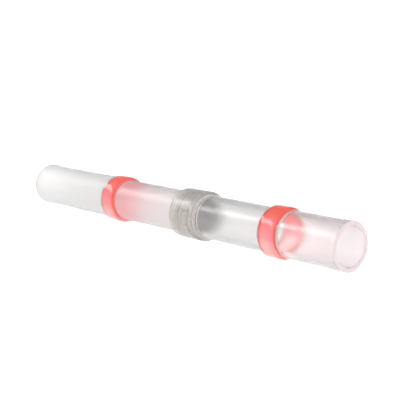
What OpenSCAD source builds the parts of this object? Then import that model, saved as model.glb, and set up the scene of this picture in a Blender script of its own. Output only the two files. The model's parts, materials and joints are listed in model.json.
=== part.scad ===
// Butt splice connector of the solder and seal kind.
// A clear heat-shrink sleeve is shrunk at the works over a thin solder ring and two
// hot-melt seal rings. The sleeve bulges over each ring, grips it by its shoulders,
// and runs on past the seal rings as plain tails with slightly flared, square-cut mouths.
// A stripped wire goes into each tail, the bare strands meet inside the solder ring, and
// the insulation lies inside the seal ring.
//
// The axis lies along X, the longer tail on the -X side. The origin is below the middle
// of the sleeve's length, on the surface that the tallest bulge lies on.

/* [Sleeve] */
// Length of the sleeve from mouth to mouth
sleeve_length = 40; // [32:0.5:60]
// Bore of the sleeve and of the rings, where the wires lie
bore_d = 2.94; // [1.5:0.02:6]
// Wall of the shrunk sleeve
wall = 0.36; // [0.2:0.02:0.8]
// How much wider the tails' bore is than the bore between the rings
tail_ease = 0.14; // [0:0.02:0.3]
// How much wider a mouth is than its tail's bore
mouth_flare = 0.14; // [0:0.02:0.4]
// Length of the flare at each mouth
mouth_length = 3; // [1:0.1:4]
// Length of the shoulder from a bulge down to the tube beside it
shoulder_length = 0.5; // [0.5:0.05:1]

/* [Places along the sleeve] */
// Left tail, from the sleeve's left end to the left seal ring
left_tail = 11.05; // [4:0.05:20]
// Right tail, from the right seal ring to the sleeve's right end
right_tail = 6.4; // [4:0.05:14]
// How far the solder ring lies to the right of the middle between the seal rings
solder_shift = 0.4; // [-1:0.025:1]

/* [Rings] */
// Length of the solder ring between its lips
solder_length = 2.8; // [1:0.1:8]
// Wall of the solder ring
solder_wall = 0.3; // [0.25:0.01:0.8]
// Length of each seal ring between its lips
seal_length = 1.8; // [1:0.1:6]
// Wall of each seal ring
seal_wall = 0.26; // [0.25:0.01:0.8]
// How far the rings' thin lips run out under the sleeve's shoulders
lip_length = 0.2; // [0.1:0.05:0.4]
// Clearance between a ring and the sleeve that is shrunk over it
seat_gap = 0.02; // [0.01:0.01:0.05]

/* [Hidden] */
$fn = 96;
// Straight steps that stand for each curved shoulder, and for each curved lip
shoulder_steps = 10;
lip_steps = 4;

// Radii inside the sleeve
bore_r = bore_d / 2;
tail_r = bore_r + tail_ease / 2;
mouth_r = tail_r + mouth_flare / 2;
seal_pocket_r = bore_r + seal_wall + seat_gap;
solder_pocket_r = bore_r + solder_wall + seat_gap;

// Stations along the sleeve, counted from its left end
left_seal_at = left_tail + seal_length / 2;
right_seal_at = sleeve_length - right_tail - seal_length / 2;
solder_at = (left_seal_at + right_seal_at) / 2 + solder_shift;

// Height of the axis above the surface that the connector lies on
axis_height = max(mouth_r, seal_pocket_r, solder_pocket_r) + wall;

// Fall from 0 to 1 over a shoulder: it bends over the ring's edge at once, then runs out
// in a long soft toe
function fall(u) = (1 - cos(180 * pow(u, 0.6))) / 2;

// Inside outline of the pocket for a ring: radius against station, up one shoulder from the
// bore on its left, along the ring, and down the other shoulder to the bore on its right
function pocket(at, ring_length, pocket_r, left_r, right_r) =
    let (half = ring_length / 2 + seat_gap)
    concat(
        [for (i = [0 : shoulder_steps])
            let (u = 1 - i / shoulder_steps)
            [pocket_r + (left_r - pocket_r) * fall(u), at - half - shoulder_length * u]],
        [for (i = [0 : shoulder_steps])
            let (u = i / shoulder_steps)
            [pocket_r + (right_r - pocket_r) * fall(u), at + half + shoulder_length * u]]
    );

// Inside outline of the whole sleeve, from mouth to mouth
sleeve_inside = concat(
    [[mouth_r, 0], [tail_r, mouth_length]],
    pocket(left_seal_at, seal_length, seal_pocket_r, tail_r, bore_r),
    pocket(solder_at, solder_length, solder_pocket_r, bore_r, bore_r),
    pocket(right_seal_at, seal_length, seal_pocket_r, bore_r, tail_r),
    [[tail_r, sleeve_length - mouth_length], [mouth_r, sleeve_length]]
);

// The outside follows the inside at one wall, walked back from the right end to the left
sleeve_outside = [
    for (i = [len(sleeve_inside) - 1 : -1 : 0])
        [sleeve_inside[i].x + wall, sleeve_inside[i].y]
];

// Turns an outline of radius against station about the sleeve's axis, where it lies
module turned(outline) {
    translate([-sleeve_length / 2, 0, axis_height])
        rotate([0, 90, 0])
            rotate_extrude()
                polygon(outline);
}

// Ring that fills its pocket: a bore flush with the sleeve's between the rings, and at each
// end a lip that follows the shoulder there and thins out from the bore
module ring(at, ring_length, pocket_r, left_r, right_r) {
    outer_r = pocket_r - seat_gap;
    low = at - ring_length / 2;
    high = at + ring_length / 2;
    reach = lip_length / shoulder_length;
    left_tip_r = outer_r + (left_r - pocket_r) * fall(reach);
    right_tip_r = outer_r + (right_r - pocket_r) * fall(reach);
    turned(concat(
        [[(bore_r + right_tip_r) / 2, high + lip_length], [bore_r, high],
         [bore_r, low], [(bore_r + left_tip_r) / 2, low - lip_length]],
        [for (i = [0 : lip_steps])
            let (u = reach * (1 - i / lip_steps))
            [outer_r + (left_r - pocket_r) * fall(u), low - shoulder_length * u]],
        [for (i = [0 : lip_steps])
            let (u = reach * i / lip_steps)
            [outer_r + (right_r - pocket_r) * fall(u), high + shoulder_length * u]]
    ));
}

// Clear polyolefin sleeve, one piece from mouth to mouth
module heat_shrink_sleeve() {
    color([0.93, 0.92, 0.91, 0.45])
        turned(concat(sleeve_inside, sleeve_outside));
}

// Low-melt solder ring at the splice
module solder_ring() {
    color([0.71, 0.70, 0.68])
        ring(solder_at, solder_length, solder_pocket_r, bore_r, bore_r);
}

// Red hot-melt ring that seals onto the left wire's insulation
module left_seal_ring() {
    color([0.96, 0.34, 0.36, 0.85])
        ring(left_seal_at, seal_length, seal_pocket_r, tail_r, bore_r);
}

// Red hot-melt ring that seals onto the right wire's insulation
module right_seal_ring() {
    color([0.96, 0.34, 0.36, 0.85])
        ring(right_seal_at, seal_length, seal_pocket_r, bore_r, tail_r);
}

heat_shrink_sleeve();
solder_ring();
left_seal_ring();
right_seal_ring();
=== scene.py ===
"""Looks of a solder-seal butt splice: a clear frosted sleeve over a solder ring and two red rings."""

import json
import math

import bmesh
import bpy
import numpy as np
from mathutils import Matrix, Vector


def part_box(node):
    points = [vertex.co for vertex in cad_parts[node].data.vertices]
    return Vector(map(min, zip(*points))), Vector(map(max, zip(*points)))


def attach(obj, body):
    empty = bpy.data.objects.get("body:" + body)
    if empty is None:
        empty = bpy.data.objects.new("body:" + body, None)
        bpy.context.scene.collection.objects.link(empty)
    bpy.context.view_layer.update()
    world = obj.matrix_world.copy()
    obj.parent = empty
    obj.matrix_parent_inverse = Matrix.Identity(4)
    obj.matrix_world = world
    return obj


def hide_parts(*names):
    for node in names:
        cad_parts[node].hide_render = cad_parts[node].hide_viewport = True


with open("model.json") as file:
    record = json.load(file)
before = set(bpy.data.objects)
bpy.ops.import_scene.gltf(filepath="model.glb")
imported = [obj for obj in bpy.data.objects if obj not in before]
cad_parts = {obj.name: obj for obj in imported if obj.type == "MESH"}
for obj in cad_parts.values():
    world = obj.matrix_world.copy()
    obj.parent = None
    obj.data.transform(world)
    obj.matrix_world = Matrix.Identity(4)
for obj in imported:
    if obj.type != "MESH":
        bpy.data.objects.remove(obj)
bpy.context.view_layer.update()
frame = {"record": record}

MM = 0.001

# Camera matched to the photograph's view, with its places in metres
IMAGE_SIDE_PX = 416
FOCAL_PX = 1000
SENSOR_MM = 36
CAMERA_PLACE = Vector((0.0667, -0.0562, 0.01849))
CAMERA_AIM = Vector((0.0041, 0.0, 0.00289))
CLIP_NEAR = 0.001
CLIP_FAR = 10

# White stage: half of the floor's side in metres, its colour and its own brightness, and the
# studio's brightness by the height of the direction that one looks in
FLOOR_REACH = 2.0
FLOOR_GREY = (0.15, 0.15, 0.15)
FLOOR_ROUGHNESS = 0.9
FLOOR_GLOW = 1.04
STUDIO_UPWARD = ((0.04, 1.05), (0.22, 0.62), (0.6, 0.42), (0.88, 0.9))

# Sizes of the sleeve that no box or mount of the frame gives, in metres
SEAT_GAP = 0.02 * MM
SHOULDER_LENGTH = 0.5 * MM
MOUTH_LENGTH = 3.0 * MM
MOUTH_FLARE = 0.07 * MM
RIM_ROUND = 0.06 * MM

# Powers that shape the soft toe of a shoulder and the flare of a mouth
TOE_POWER = 0.6
FLARE_POWER = 1.5

# Drift of the shrunk wall, in metres: its size, the margin that it keeps to the sleeve's box, and
# the length over which it dies away beside a ring. Each wave has a size, turns along the sleeve
# with their phase, and lobes about the axis with their phase.
WALL_WANDER = 0.010 * MM
WANDER_MARGIN = 3 * WALL_WANDER
CALM_LENGTH = 2 * SHOULDER_LENGTH
WALL_WAVES = ((1.0, 2, 1.3, 2, 0.4), (0.6, 5, 0.2, 3, 2.1))

# How far the cuts are from true, in metres. Each wave has a size, lobes about the axis and their
# phase, and is added to the mean. The high odd power keeps it at the two ends, inwards at both.
CUT_WANDER = 0.03 * MM
CUT_MEAN = 0.5
CUT_WAVES = ((0.3, 1, 0.7), (0.2, 3, 2.0))
CUT_POWER = 41

# Lifts of the sleeve, from 0 on its plain bore to 1 on a ring, between which a shoulder is whitened
STRETCH_FROM = 0.02
SEAL_STRETCH_TO = 0.38
SOLDER_STRETCH_TO = 0.2

# Sizes of the rings, in metres: their lips, how far the sleeve presses into them, how much shorter
# they are drawn than their solids, and the bands at their ends: flux on the solder, and painted
# deeper colour on the seal rings
LIP_LENGTH = 0.2 * MM
LIP_EDGE = 0.008 * MM
LIP_ROOT = 0.08 * MM
GRIP = 0.006 * MM
SEAL_TRIM = 0.4 * MM
SOLDER_TRIM = 0.15 * MM
FLUX_BAND = 0.11 * MM
LEFT_PAINTED_DEEP_BAND = 0.22 * MM
RIGHT_PAINTED_DEEP_BAND = 0.0

# Thickness of a lip's tip, as a share of the way from the sleeve down to the bore
LIP_TAPER = 0.3

# Turned lines of the solder ring: their number and greatest depth, and as shares of that depth or
# of a line's width, the least depth, where a line's bottom may lie, its flanks and its land's edge
TURNED_LINES = 14
TURNED_DEPTH = 0.016 * MM
LEAST_DEPTH = 0.25
BOTTOM_FROM = 0.35
BOTTOM_TO = 0.65
FLANK_REACH = 0.3
FLANK_DEPTH = 0.5
LAND_SETBACK = 0.02
TURNING_SEED = 7

# Fineness of the meshes; stations crowd towards a ring's edge by a power
SEGMENTS = 144
PLAIN_STATIONS = 60
SEAL_STATIONS = 14
BORE_STATIONS = 12
SHOULDER_STEPS = 14
EDGE_STEPS = 5
LIP_STEPS = 5
CROWDING = 1.5
LEAST_STEP = 0.008 * MM


def mount(name):
    """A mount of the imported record, by its name."""
    return next(m for m in frame["record"]["mounts"] if m["name"] == name)


class Ring:
    """Stations along X between a ring's lips, and its outer radius, in metres, from its solid's box.

    The ring is drawn shorter than its solid by the trim, at its left end. The sleeve presses into it
    by the grip and by the depth of its turned lines, so that no air shows between them.
    """

    def __init__(self, node, trim, line_depth=0.0):
        low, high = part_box(node)
        self.start = low.x + LIP_LENGTH + trim
        self.end = high.x - LIP_LENGTH
        self.middle = (self.start + self.end) / 2
        self.outer = (high.y - low.y) / 2
        self.pressed = GRIP + line_depth


BORE_R = mount("solder_bore")["dims"]["r_mm"] * MM
TAIL_R = mount("left_wire_entry")["dims"]["r_mm"] * MM
SLEEVE_LOW, SLEEVE_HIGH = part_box("heat_shrink_sleeve")
AXIS_HEIGHT = (SLEEVE_LOW.z + SLEEVE_HIGH.z) / 2
LEFT_SEAL = Ring("left_seal_ring", SEAL_TRIM)
SOLDER = Ring("solder_ring", SOLDER_TRIM, TURNED_DEPTH)
RIGHT_SEAL = Ring("right_seal_ring", SEAL_TRIM)
RINGS = (LEFT_SEAL, SOLDER, RIGHT_SEAL)
WALL = SLEEVE_HIGH.y - SOLDER.outer - SEAT_GAP


def share(x):
    """Place along the sleeve as a share of its length, from 0 at its left end to 1 at its right end."""
    return (x - SLEEVE_LOW.x) / (SLEEVE_HIGH.x - SLEEVE_LOW.x)


# Places along the sleeve where it begins and ceases to lie on each ring, and the short step beside
# them over which its look changes
LEFT_ON = share(LEFT_SEAL.start - LIP_LENGTH)
LEFT_OFF = share(LEFT_SEAL.end + LIP_LENGTH)
SOLDER_ON = share(SOLDER.start - LIP_LENGTH)
SOLDER_OFF = share(SOLDER.end + LIP_LENGTH)
RIGHT_ON = share(RIGHT_SEAL.start - LIP_LENGTH)
RIGHT_OFF = share(RIGHT_SEAL.end + LIP_LENGTH)
STEP = 0.006

# Roughness of the sleeve along its length: most frosted in the left tail, least on the seal rings
FROST = (
    (0.0, 0.50), (LEFT_ON - STEP, 0.46),
    (LEFT_ON, 0.14), (LEFT_OFF, 0.14),
    (LEFT_OFF + STEP, 0.30), (0.45, 0.38), (SOLDER_ON - STEP, 0.36),
    (SOLDER_ON, 0.22), (SOLDER_OFF, 0.22),
    (SOLDER_OFF + STEP, 0.20), (0.68, 0.26), (RIGHT_ON - STEP, 0.24),
    (RIGHT_ON, 0.08), (RIGHT_OFF - STEP, 0.08), (RIGHT_OFF, 0.10),
    (0.88, 0.19), (0.92, 0.25), (1.0, 0.26),
)

# Share of the light that goes through the sleeve along its length; the rest makes it milky
CLARITY = (
    (0.0, 0.66), (LEFT_ON - STEP, 0.70),
    (LEFT_ON, 0.97), (LEFT_OFF, 0.97),
    (LEFT_OFF + STEP, 0.74), (0.40, 0.73), (0.46, 0.68), (SOLDER_ON - STEP, 0.70),
    (SOLDER_ON, 0.92), (SOLDER_OFF, 0.92),
    (SOLDER_OFF + STEP, 0.94), (0.66, 0.88), (0.72, 0.80), (RIGHT_ON - STEP, 0.82),
    (RIGHT_ON, 0.98), (RIGHT_OFF, 0.98),
    (0.89, 0.92), (0.93, 0.82), (1.0, 0.78),
)

# Colour of the sleeve along its length: clear on the rings, milky or smoky beside them, with painted
# red glow where the red rings would shine into it, beside the left ring and in the right tail
CLEAR = (0.985, 0.982, 0.976)
PAINTED_FAINT_RED_GLOW = (0.985, 0.950, 0.945)
PAINTED_TAIL_RED_GLOW = (0.988, 0.925, 0.930)
PAINTED_MIDDLE_RED_GLOW = (0.995, 0.760, 0.775)
PAINTED_STRONG_RED_GLOW = (0.998, 0.640, 0.660)
MILKY = (0.955, 0.952, 0.942)
SMOKY = (0.962, 0.952, 0.945)
SLEEVE_TINT_AND_PAINTED_GLOW_ALONG = (
    (LEFT_ON - STEP, MILKY),
    (LEFT_ON, CLEAR), (LEFT_OFF - STEP, CLEAR),
    (LEFT_OFF, PAINTED_STRONG_RED_GLOW), (0.365, PAINTED_STRONG_RED_GLOW), (0.385, PAINTED_MIDDLE_RED_GLOW),
    (0.425, PAINTED_FAINT_RED_GLOW), (SOLDER_ON - STEP, PAINTED_FAINT_RED_GLOW),
    (SOLDER_ON, CLEAR), (SOLDER_OFF, CLEAR),
    (0.64, SMOKY), (RIGHT_ON - STEP, SMOKY),
    (RIGHT_ON, CLEAR), (RIGHT_OFF, CLEAR),
    (0.95, PAINTED_TAIL_RED_GLOW), (1.0, PAINTED_TAIL_RED_GLOW),
)

# Pairs of colours between which a noise varies the sleeve's whitened walls; their pink is painted red light
# from the rings
CUT_WHITE_WITH_PAINTED_PINK = ((0.80, 0.67, 0.70), (0.84, 0.72, 0.75))
STRETCHED_WHITE_WITH_PAINTED_PINK = ((0.93, 0.79, 0.77), (0.96, 0.84, 0.82))

# Colours of the hot-melt from the bottom of a ring to its top, painted paler at the bottom and deeper
# red at the top for how light falls through it, how much a cloud in it shifts them, and the pair of
# colours between which a noise varies its ends, painted deeper in colour
PALE_BY_PAINTED_FLOOR_LIGHT = (0.994, 0.97, 0.97)
PALE_PINK = (0.988, 0.46, 0.55)
PINK = (0.985, 0.36, 0.44)
DEEP_BY_PAINTED_TOP_LIGHT = (0.975, 0.20, 0.13)
MELT_WITH_PAINTED_LIGHT_UPWARD = ((0.33, PALE_BY_PAINTED_FLOOR_LIGHT), (0.51, PALE_PINK), (0.72, PINK), (0.98, DEEP_BY_PAINTED_TOP_LIGHT))
CLOUD_SHIFT = 0.15
PAINTED_DEEP_END_TINTS = ((0.86, 0.14, 0.09), (0.92, 0.20, 0.13))

# Light that the hot-melt gives off, which stands for what scatters in it, and light that goes through it
MELT_GLOW = (1.0, 0.09, 0.04)
MELT_SHADE = (0.99, 0.22, 0.28)
PAINTED_DEEP_END_GLOW = (1.0, 0.08, 0.05)
DEEP_MELT_SHADE = (0.99, 0.20, 0.0)

# Pairs of colours between which a noise varies the solder, the flux at its ends and its bore, which is
# darkened with painted shade
SOLDER_TINTS = ((0.435, 0.405, 0.375), (0.905, 0.84, 0.775))
FLUX_TINTS = ((0.93, 0.86, 0.82), (1.0, 0.96, 0.93))
BORE_PAINTED_SHADE_TINTS = ((0.18, 0.19, 0.20), (0.30, 0.31, 0.32))

# How the plastics bend light, and how the sleeve shades what goes through it
POLYOLEFIN_IOR = 1.49
POLYOLEFIN_SHADE = (0.90, 0.897, 0.893)
POLYOLEFIN_DENSITY = 20
HOT_MELT_IOR = 1.48

# Values that a noise mostly keeps between, and the height of a bump in metres
NOISE_LOW = 0.3
NOISE_HIGH = 0.7
BUMP_HEIGHT = 0.01 * MM


def ease(u):
    """Smooth rise from 0 to 1 with level ends."""
    return (1 - np.cos(np.pi * np.clip(u, 0, 1))) / 2


def held(x, ring):
    """How far a ring lifts the sleeve: 1 along it, down to 0 over a short bend and a long soft toe."""
    beyond = np.maximum(ring.start - x, x - ring.end)
    return 1 - ease((np.clip(beyond, 0, None) / SHOULDER_LENGTH) ** TOE_POWER)


def turned(name, outline, zone, wander=None):
    """Turns a closed outline of (station, radius) about the axis.

    zone gives the material's number for the wall between two neighbours of the outline, from its
    middle. wander may shift each point a little.
    """
    stations, radii = np.array(outline).T
    count = len(stations)
    angles = np.arange(SEGMENTS) * 2 * np.pi / SEGMENTS
    x = np.repeat(stations[:, None], SEGMENTS, axis=1)
    r = np.repeat(radii[:, None], SEGMENTS, axis=1)
    a = np.repeat(angles[None, :], count, axis=0)
    if wander:
        x, r = wander(x, r, a)
    points = np.stack([x, r * np.cos(a), AXIS_HEIGHT + r * np.sin(a)], axis=-1).reshape(-1, 3)
    faces = []
    numbers = []
    for i in range(count):
        following = (i + 1) % count
        here = i * SEGMENTS
        there = following * SEGMENTS
        middle_x = (stations[i] + stations[following]) / 2
        middle_r = (radii[i] + radii[following]) / 2
        numbers += [zone(middle_x, middle_r)] * SEGMENTS
        for j in range(SEGMENTS):
            k = (j + 1) % SEGMENTS
            faces.append((here + j, here + k, there + k, there + j))
    mesh = bpy.data.meshes.new(name)
    mesh.from_pydata(points.tolist(), [], faces)
    form = bmesh.new()
    form.from_mesh(mesh)
    bmesh.ops.recalc_face_normals(form, faces=form.faces)
    form.to_mesh(mesh)
    form.free()
    mesh.polygons.foreach_set("use_smooth", [True] * len(mesh.polygons))
    mesh.polygons.foreach_set("material_index", numbers)
    piece = bpy.data.objects.new(name, mesh)
    bpy.context.scene.collection.objects.link(piece)
    return piece


def rim_arc(centre_x, centre_r, start_deg, end_deg):
    """Points of a rim's rounded edge in the plane of station and radius."""
    turns = np.radians(np.linspace(start_deg, end_deg, EDGE_STEPS + 1))
    return [(centre_x + RIM_ROUND * math.cos(t), centre_r + RIM_ROUND * math.sin(t)) for t in turns]


def crowded(steps):
    """Rising shares from 0 to 1 that lie closer together near 0."""
    return np.linspace(0, 1, steps + 1) ** CROWDING


def sleeve_stations():
    """Stations along the sleeve between its rounded rims, close together where the wall bends."""
    start = SLEEVE_LOW.x + RIM_ROUND
    end = SLEEVE_HIGH.x - RIM_ROUND
    stations = set(np.linspace(start, end, PLAIN_STATIONS))
    for ring in RINGS:
        for edge, way in ((ring.start, -1), (ring.end, 1)):
            stations.update(edge + way * SHOULDER_LENGTH * crowded(SHOULDER_STEPS))
    ordered = sorted(stations)
    kept = [ordered[0]]
    for station in ordered[1:-1]:
        if station - kept[-1] > LEAST_STEP and ordered[-1] - station > LEAST_STEP:
            kept.append(station)
    return np.array(kept + [ordered[-1]])


def sleeve_inside(x):
    """Inside radius of the sleeve at a station: plain bore, wider tails and mouths, pockets on the rings."""
    between_seals = (x > LEFT_SEAL.middle) & (x < RIGHT_SEAL.middle)
    to_left_mouth = np.clip(1 - (x - SLEEVE_LOW.x) / MOUTH_LENGTH, 0, 1)
    to_right_mouth = np.clip(1 - (SLEEVE_HIGH.x - x) / MOUTH_LENGTH, 0, 1)
    flare = MOUTH_FLARE * (to_left_mouth ** FLARE_POWER + to_right_mouth ** FLARE_POWER)
    plain = np.where(between_seals, BORE_R, TAIL_R) + flare
    radius = plain
    for ring in RINGS:
        pocket = ring.outer - ring.pressed
        radius = radius + (pocket - plain) * held(x, ring)
    return radius


def sleeve_outside(x):
    """Outside radius of the sleeve: one wall over its inside, and on the rings as far out as its solid."""
    lifted = np.zeros_like(x)
    for ring in RINGS:
        lifted = lifted + (SEAT_GAP + ring.pressed) * held(x, ring)
    return sleeve_inside(x) + WALL + lifted


def sleeve_wander(x, r, a):
    """Small drift of the shrunk wall away from the rings, and cuts that aren't quite true at the mouths."""
    along = share(x) * 2 * np.pi
    drift = sum(
        size * np.sin(turns * along + phase) * np.cos(lobes * a + lobe_phase)
        for size, turns, phase, lobes, lobe_phase in WALL_WAVES
    )
    calm = np.zeros_like(x)
    for ring in RINGS:
        rise = ease((x - ring.start + CALM_LENGTH) / CALM_LENGTH)
        fall = ease((ring.end + CALM_LENGTH - x) / CALM_LENGTH)
        calm = np.maximum(calm, rise * fall)
    within_box = r < SLEEVE_HIGH.y - WANDER_MARGIN
    cut = CUT_MEAN + sum(size * np.sin(lobes * a + phase) for size, lobes, phase in CUT_WAVES)
    at_ends = (share(x) * 2 - 1) ** CUT_POWER
    return x - CUT_WANDER * cut * at_ends, r + WALL_WANDER * drift * within_box * (1 - calm)


def sleeve_zone(x, r):
    """1 at the sleeve's cut rims, 2 inside its stretched shoulders and 0 where it is clear."""
    if x < SLEEVE_LOW.x + RIM_ROUND or x > SLEEVE_HIGH.x - RIM_ROUND:
        return 1
    on_seal = max(held(x, LEFT_SEAL), held(x, RIGHT_SEAL))
    on_solder = held(x, SOLDER)
    by_seal = STRETCH_FROM < on_seal < SEAL_STRETCH_TO
    by_solder = STRETCH_FROM < on_solder < SOLDER_STRETCH_TO
    inside = r < (sleeve_inside(x) + sleeve_outside(x)) / 2
    return 2 if inside and (by_seal or by_solder) else 0


def solder_zone(x, r):
    """1 in the bore of the solder ring, 2 at its ends and 0 elsewhere on it."""
    if x < SOLDER.start + FLUX_BAND or x > SOLDER.end - FLUX_BAND:
        return 2
    return 1 if r < BORE_R + LIP_EDGE else 0


def seal_zone(ring, painted_deep_band):
    """Zones of a seal ring: 1, with painted deeper colour, at the tip of its left lip and at its right end,
    and 0 between them.
    """
    def zone(x, r):
        return 1 if x < ring.start - LIP_ROOT or x > ring.end - painted_deep_band else 0
    return zone


def make_sleeve():
    """The sleeve, one wall from mouth to mouth with rounded rims."""
    x = sleeve_stations()
    inner = sleeve_inside(x)
    outer = sleeve_outside(x)
    inside = list(zip(x, inner))
    outside = list(zip(x, outer))
    right_rim = (
        rim_arc(x[-1], outer[-1] - RIM_ROUND, 90, 0)
        + rim_arc(x[-1], inner[-1] + RIM_ROUND, 0, -90)
    )
    left_rim = (
        rim_arc(x[0], inner[0] + RIM_ROUND, 270, 180)
        + rim_arc(x[0], outer[0] - RIM_ROUND, 180, 90)
    )
    outline = outside[:-1] + right_rim + inside[-2:0:-1] + left_rim[:-1]
    return turned("frosted_sleeve", outline, sleeve_zone, sleeve_wander)


def lip_outside(ring, edge, way):
    """Outer wall of a ring's lip, from its root to its tip, held in touch with the sleeve's shoulder."""
    stations = edge + way * LIP_LENGTH * crowded(LIP_STEPS)
    return list(zip(stations, sleeve_inside(stations) + ring.pressed))


def lip_inside(tip, edge, way):
    """Inner wall of a ring's lip, from its blunt tip to its root at the bore."""
    tip_x, tip_r = tip
    blunt_x = tip_x - way * LIP_EDGE
    blunt_r = tip_r + (BORE_R - tip_r) * LIP_TAPER
    blunt = [(tip_x, tip_r - LIP_EDGE), (tip_x, blunt_r + LIP_EDGE), (blunt_x, blunt_r)]
    shares = np.linspace(0, 1, LIP_STEPS + 1)[1:]
    return blunt + [(blunt_x + (edge - blunt_x) * s, blunt_r + (BORE_R - blunt_r) * s) for s in shares]


def ring_outline(ring, outside):
    """Outline of a ring and its two lips; outside lists the points of its outer wall between the lips."""
    left_lip = lip_outside(ring, ring.start, -1)
    right_lip = lip_outside(ring, ring.end, 1)
    bore = [(station, BORE_R) for station in np.linspace(ring.end, ring.start, BORE_STATIONS)[1:-1]]
    left_inner = lip_inside(left_lip[-1], ring.start, -1)
    right_inner = lip_inside(right_lip[-1], ring.end, 1)
    return left_lip[::-1] + outside + right_lip + right_inner + bore + left_inner[::-1]


def make_seal_ring(name, ring, painted_deep_band):
    """A hot-melt ring, with painted deeper colour in a band at its right end and at the tip of its left lip.
    """
    stations = np.linspace(ring.start, ring.end, SEAL_STATIONS)[1:-1]
    outside = [(station, ring.outer) for station in stations]
    return turned(name, ring_outline(ring, outside), seal_zone(ring, painted_deep_band))


def make_solder_ring():
    """The solder ring with its turned lines, each of its own depth."""
    draw = np.random.RandomState(TURNING_SEED)
    edges = np.linspace(SOLDER.start, SOLDER.end, TURNED_LINES + 1)
    outside = []
    for here, there in zip(edges[:-1], edges[1:]):
        depth = TURNED_DEPTH * draw.uniform(LEAST_DEPTH, 1.0)
        bottom = draw.uniform(BOTTOM_FROM, BOTTOM_TO)
        width = there - here
        flank_r = SOLDER.outer - depth * FLANK_DEPTH
        outside.append((here + width * (bottom - FLANK_REACH), flank_r))
        outside.append((here + width * bottom, SOLDER.outer - depth))
        outside.append((here + width * (bottom + FLANK_REACH), flank_r))
        outside.append((there - width * LAND_SETBACK, SOLDER.outer))
    return turned("turned_solder_ring", ring_outline(SOLDER, outside[:-1]), solder_zone)


def fill_ramp(ramp, stops):
    """Sets the stops of a colour ramp, each a place from 0 to 1 and a colour, in rising order."""
    elements = ramp.color_ramp.elements
    elements.remove(elements[1])
    elements[0].position = stops[0][0]
    elements[0].color = (*stops[0][1], 1)
    for place, colour in stops[1:]:
        elements.new(place).color = (*colour, 1)


def greys(stops):
    """Stops of grey levels as stops of colours."""
    return tuple((place, (level, level, level)) for place, level in stops)


class Finish:
    """A new material, with the textures that drive its shader."""

    def __init__(self, name):
        self.material = bpy.data.materials.new(name)
        self.material.use_nodes = True
        self.nodes = self.material.node_tree.nodes
        self.links = self.material.node_tree.links
        self.shader = self.nodes["Principled BSDF"]

    def fix(self, socket, value):
        """Sets an input of the shader to a constant value."""
        self.shader.inputs[socket].default_value = value

    def drive(self, socket, source):
        """Lets a texture drive an input of the shader."""
        self.links.new(source, self.shader.inputs[socket])

    def noise(self, scale, detail):
        """Noise in the object's own coordinates, with its own scale along each axis."""
        place = self.nodes.new("ShaderNodeTexCoord")
        mapping = self.nodes.new("ShaderNodeMapping")
        mapping.inputs["Scale"].default_value = scale
        noise = self.nodes.new("ShaderNodeTexNoise")
        noise.inputs["Scale"].default_value = 1.0
        noise.inputs["Detail"].default_value = detail
        self.links.new(place.outputs["Object"], mapping.inputs["Vector"])
        self.links.new(mapping.outputs["Vector"], noise.inputs["Vector"])
        return noise.outputs["Fac"]

    def spread(self, noise, low, high):
        """Maps a noise onto the range from low to high."""
        node = self.nodes.new("ShaderNodeMapRange")
        node.inputs["From Min"].default_value = NOISE_LOW
        node.inputs["From Max"].default_value = NOISE_HIGH
        node.inputs["To Min"].default_value = low
        node.inputs["To Max"].default_value = high
        self.links.new(noise, node.inputs["Value"])
        return node.outputs["Result"]

    def ramp(self, value, stops):
        """Colour by a value; each stop is a value from 0 to 1 and the colour there."""
        node = self.nodes.new("ShaderNodeValToRGB")
        fill_ramp(node, stops)
        self.links.new(value, node.inputs["Fac"])
        return node.outputs["Color"]

    def tint(self, noise, tints):
        """Colour between two tints by a noise."""
        low, high = tints
        return self.ramp(noise, ((NOISE_LOW, low), (NOISE_HIGH, high)))

    def speckled(self, colour, scale, darkest):
        """A colour darkened in fine speckles, down to a share of itself."""
        grain = self.noise((scale, scale, scale), detail=3)
        shade = self.tint(grain, ((darkest, darkest, darkest), (1, 1, 1)))
        mix = self.nodes.new("ShaderNodeMix")
        mix.data_type = "RGBA"
        mix.blend_type = "MULTIPLY"
        mix.inputs["Factor"].default_value = 1.0
        plain, darkening = [socket for socket in mix.inputs if socket.enabled][1:]
        self.links.new(colour, plain)
        self.links.new(shade, darkening)
        return next(socket for socket in mix.outputs if socket.enabled)

    def place(self, axis):
        """Place in a piece's own box along an axis, from 0 to 1."""
        place = self.nodes.new("ShaderNodeTexCoord")
        parts = self.nodes.new("ShaderNodeSeparateXYZ")
        self.links.new(place.outputs["Generated"], parts.inputs["Vector"])
        return parts.outputs[axis]

    def along(self, stops):
        """Colour that changes along a piece; each stop is a share of its length and a colour."""
        return self.ramp(self.place("X"), stops)

    def upward(self, noise, stops):
        """Colour that changes from the bottom of a piece to its top, a little unevenly by a noise."""
        uneven = self.nodes.new("ShaderNodeMath")
        uneven.operation = "MULTIPLY_ADD"
        noise_socket, shift_socket, height_socket = uneven.inputs
        shift_socket.default_value = CLOUD_SHIFT
        self.links.new(noise, noise_socket)
        self.links.new(self.place("Z"), height_socket)
        return self.ramp(uneven.outputs["Value"], stops)

    def bump(self, height, strength):
        """Tilts the shading by a texture, without moving the surface."""
        node = self.nodes.new("ShaderNodeBump")
        node.inputs["Strength"].default_value = strength
        node.inputs["Distance"].default_value = BUMP_HEIGHT
        self.links.new(height, node.inputs["Height"])
        self.drive("Normal", node.outputs["Normal"])

    def glow(self, colour, strength):
        """Lets the surface give off light of its own."""
        self.fix("Emission Color", (*colour, 1))
        self.fix("Emission Strength", strength)

    def absorb(self, colour, density):
        """Colours the light on its way through the piece."""
        node = self.nodes.new("ShaderNodeVolumeAbsorption")
        node.inputs["Color"].default_value = (*colour, 1)
        node.inputs["Density"].default_value = density
        self.links.new(node.outputs["Volume"], self.nodes["Material Output"].inputs["Volume"])


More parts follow.
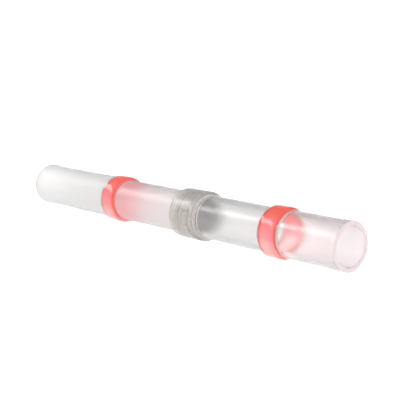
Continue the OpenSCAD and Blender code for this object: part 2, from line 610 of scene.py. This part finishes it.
def clear_polyolefin():
    """The sleeve's clear wall: frosted and milky by different amounts along its length, with painted red
    glow near the rings.
    """
    finish = Finish("clear_polyolefin")
    drawn_lines = finish.noise(scale=(40, 900, 900), detail=2)
    # Painted light: the base colour along the sleeve carries a red glow beside the red rings and in the
    # right tail
    finish.drive("Base Color", finish.along(SLEEVE_TINT_AND_PAINTED_GLOW_ALONG))
    finish.drive("Roughness", finish.along(greys(FROST)))
    finish.drive("Transmission Weight", finish.along(greys(CLARITY)))
    finish.fix("IOR", POLYOLEFIN_IOR)
    finish.bump(drawn_lines, strength=0.03)
    finish.absorb(POLYOLEFIN_SHADE, POLYOLEFIN_DENSITY)
    return finish.material


def whitened_polyolefin(name, tints, clarity):
    """The sleeve's wall where it is whitened, by its cut or by its stretch over a ring's edge. Its pink is
    painted red light from the rings.
    """
    finish = Finish(name)
    grain = finish.noise(scale=(2500, 2500, 2500), detail=3)
    # Painted light: the pink in these tints stands for red light from the rings
    finish.drive("Base Color", finish.tint(grain, tints))
    finish.drive("Roughness", finish.spread(grain, low=0.45, high=0.6))
    finish.fix("Transmission Weight", clarity)
    finish.fix("IOR", POLYOLEFIN_IOR)
    finish.absorb(POLYOLEFIN_SHADE, POLYOLEFIN_DENSITY)
    return finish.material


def red_hot_melt():
    """Translucent, cloudy hot-melt, with painted light: deeper in colour above and paler below by how light
    falls through it.
    """
    finish = Finish("red_hot_melt")
    cloud = finish.noise(scale=(500, 500, 500), detail=2)
    # Painted light: the base colour is paler towards the bottom and deeper red towards the top
    finish.drive("Base Color", finish.upward(cloud, MELT_WITH_PAINTED_LIGHT_UPWARD))
    finish.drive("Roughness", finish.spread(cloud, low=0.30, high=0.36))
    finish.fix("Transmission Weight", 0.90)
    finish.fix("IOR", HOT_MELT_IOR)
    finish.bump(cloud, strength=0.05)
    finish.glow(MELT_GLOW, strength=0.18)
    finish.absorb(MELT_SHADE, density=800)
    return finish.material


def hot_melt_painted_deep_ends():
    """The hot-melt at the ends of a ring, with painted deeper colour and glow that stand for the longer path
    of light where one looks along its wall.
    """
    finish = Finish("hot_melt_painted_deep_ends")
    cloud = finish.noise(scale=(900, 900, 900), detail=2)
    # Painted light: deeper red and a stronger glow at the ring's ends
    finish.drive("Base Color", finish.tint(cloud, PAINTED_DEEP_END_TINTS))
    finish.drive("Roughness", finish.spread(cloud, low=0.30, high=0.40))
    finish.fix("Transmission Weight", 0.35)
    finish.fix("IOR", HOT_MELT_IOR)
    finish.glow(PAINTED_DEEP_END_GLOW, strength=0.22)
    finish.absorb(DEEP_MELT_SHADE, density=2800)
    return finish.material


def dull_solder():
    """Dull grey solder with fine turned lines round it and a fine speckle."""
    finish = Finish("dull_solder")
    turned_lines = finish.noise(scale=(7000, 160, 160), detail=4)
    dull = finish.tint(turned_lines, SOLDER_TINTS)
    finish.drive("Base Color", finish.speckled(dull, scale=4500, darkest=0.68))
    finish.drive("Roughness", finish.spread(turned_lines, low=0.36, high=0.52))
    finish.fix("Metallic", 0.55)
    finish.bump(turned_lines, strength=0.6)
    return finish.material


def flux_film():
    """The pale, speckled film of flux at the ends of the solder ring."""
    finish = Finish("flux_film")
    grain = finish.noise(scale=(2500, 2500, 2500), detail=3)
    film = finish.tint(grain, FLUX_TINTS)
    finish.drive("Base Color", finish.speckled(film, scale=3500, darkest=0.62))
    finish.drive("Roughness", finish.spread(grain, low=0.35, high=0.55))
    return finish.material


def solder_bore():
    """The inside of the solder ring, darkened with painted shade."""
    finish = Finish("solder_bore")
    grain = finish.noise(scale=(900, 900, 900), detail=3)
    # Painted shade: the bore's base colour is much darker than the solder outside
    finish.drive("Base Color", finish.tint(grain, BORE_PAINTED_SHADE_TINTS))
    finish.drive("Roughness", finish.spread(grain, low=0.35, high=0.5))
    finish.fix("Metallic", 1.0)
    return finish.material


def dress(piece, node, slot_name, *materials):
    """Gives a piece its materials, in the order of its zones, and its place in the frame."""
    for material in materials:
        piece.data.materials.append(material)
    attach(piece, "root")
    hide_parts(node)


def facing(place, aim):
    """Rotation of a camera or a light at a place that looks at its aim."""
    return (Vector(aim) - Vector(place)).to_track_quat("-Z", "Y")


def make_camera():
    """The camera at the photograph's place and angle."""
    data = bpy.data.cameras.new("camera")
    data.sensor_width = SENSOR_MM
    data.lens = FOCAL_PX * SENSOR_MM / IMAGE_SIDE_PX
    data.clip_start = CLIP_NEAR
    data.clip_end = CLIP_FAR
    camera = bpy.data.objects.new("camera", data)
    camera.location = CAMERA_PLACE
    camera.rotation_mode = "QUATERNION"
    camera.rotation_quaternion = facing(CAMERA_PLACE, CAMERA_AIM)
    bpy.context.scene.collection.objects.link(camera)
    bpy.context.scene.camera = camera


def make_floor():
    """The white floor that the connector lies on."""
    mesh = bpy.data.meshes.new("floor")
    corners = [(x * FLOOR_REACH, y * FLOOR_REACH, 0) for x, y in ((-1, -1), (1, -1), (1, 1), (-1, 1))]
    mesh.from_pydata(corners, [], [(0, 1, 2, 3)])
    floor = bpy.data.objects.new("floor", mesh)
    bpy.context.scene.collection.objects.link(floor)
    finish = Finish("floor_white")
    finish.fix("Base Color", (*FLOOR_GREY, 1))
    finish.fix("Roughness", FLOOR_ROUGHNESS)
    finish.fix("Specular IOR Level", 0.0)
    finish.glow((1, 1, 1), FLOOR_GLOW)
    mesh.materials.append(finish.material)


def make_world():
    """Studio round the floor: white near the horizon, dimmer above it, bright overhead."""
    world = bpy.data.worlds.new("studio")
    bpy.context.scene.world = world
    world.use_nodes = True
    nodes = world.node_tree.nodes
    links = world.node_tree.links
    place = nodes.new("ShaderNodeTexCoord")
    parts = nodes.new("ShaderNodeSeparateXYZ")
    ramp = nodes.new("ShaderNodeValToRGB")
    fill_ramp(ramp, greys(STUDIO_UPWARD))
    links.new(place.outputs["Generated"], parts.inputs["Vector"])
    links.new(parts.outputs["Z"], ramp.inputs["Fac"])
    links.new(ramp.outputs["Color"], nodes["Background"].inputs["Color"])
    nodes["Background"].inputs["Strength"].default_value = 1.0
    bpy.context.scene.view_settings.view_transform = "Standard"


def make_softbox(name, place, width, height, watts):
    """A softbox that faces the connector, with its place and its sides in metres."""
    data = bpy.data.lights.new(name, "AREA")
    data.shape = "RECTANGLE"
    data.size = width
    data.size_y = height
    data.energy = watts
    light = bpy.data.objects.new(name, data)
    light.location = place
    light.rotation_mode = "QUATERNION"
    light.rotation_quaternion = facing(place, aim=(0.0, 0.0, 0.0))
    bpy.context.scene.collection.objects.link(light)


make_camera()
make_floor()
make_world()
make_softbox("strip", place=(-0.35, -0.37, 0.36), width=1.2, height=0.13, watts=2.5)
make_softbox("end", place=(0.60, 0.0, 0.20), width=0.5, height=0.35, watts=2.0)

clear = clear_polyolefin()
cut_white = whitened_polyolefin("cut_polyolefin", CUT_WHITE_WITH_PAINTED_PINK, clarity=0.3)
stretched_white = whitened_polyolefin("stretched_polyolefin", STRETCHED_WHITE_WITH_PAINTED_PINK, clarity=0.1)
red = red_hot_melt()
painted_deep_red = hot_melt_painted_deep_ends()

sleeve = make_sleeve()
solder_ring = make_solder_ring()
left_ring = make_seal_ring("left_hot_melt_ring", LEFT_SEAL, LEFT_PAINTED_DEEP_BAND)
right_ring = make_seal_ring("right_hot_melt_ring", RIGHT_SEAL, RIGHT_PAINTED_DEEP_BAND)
dress(sleeve, "heat_shrink_sleeve", "clear_polyolefin", clear, cut_white, stretched_white)
dress(solder_ring, "solder_ring", "solder", dull_solder(), solder_bore(), flux_film())
dress(left_ring, "left_seal_ring", "red_hot_melt", red, painted_deep_red)
dress(right_ring, "right_seal_ring", "red_hot_melt", red, painted_deep_red)
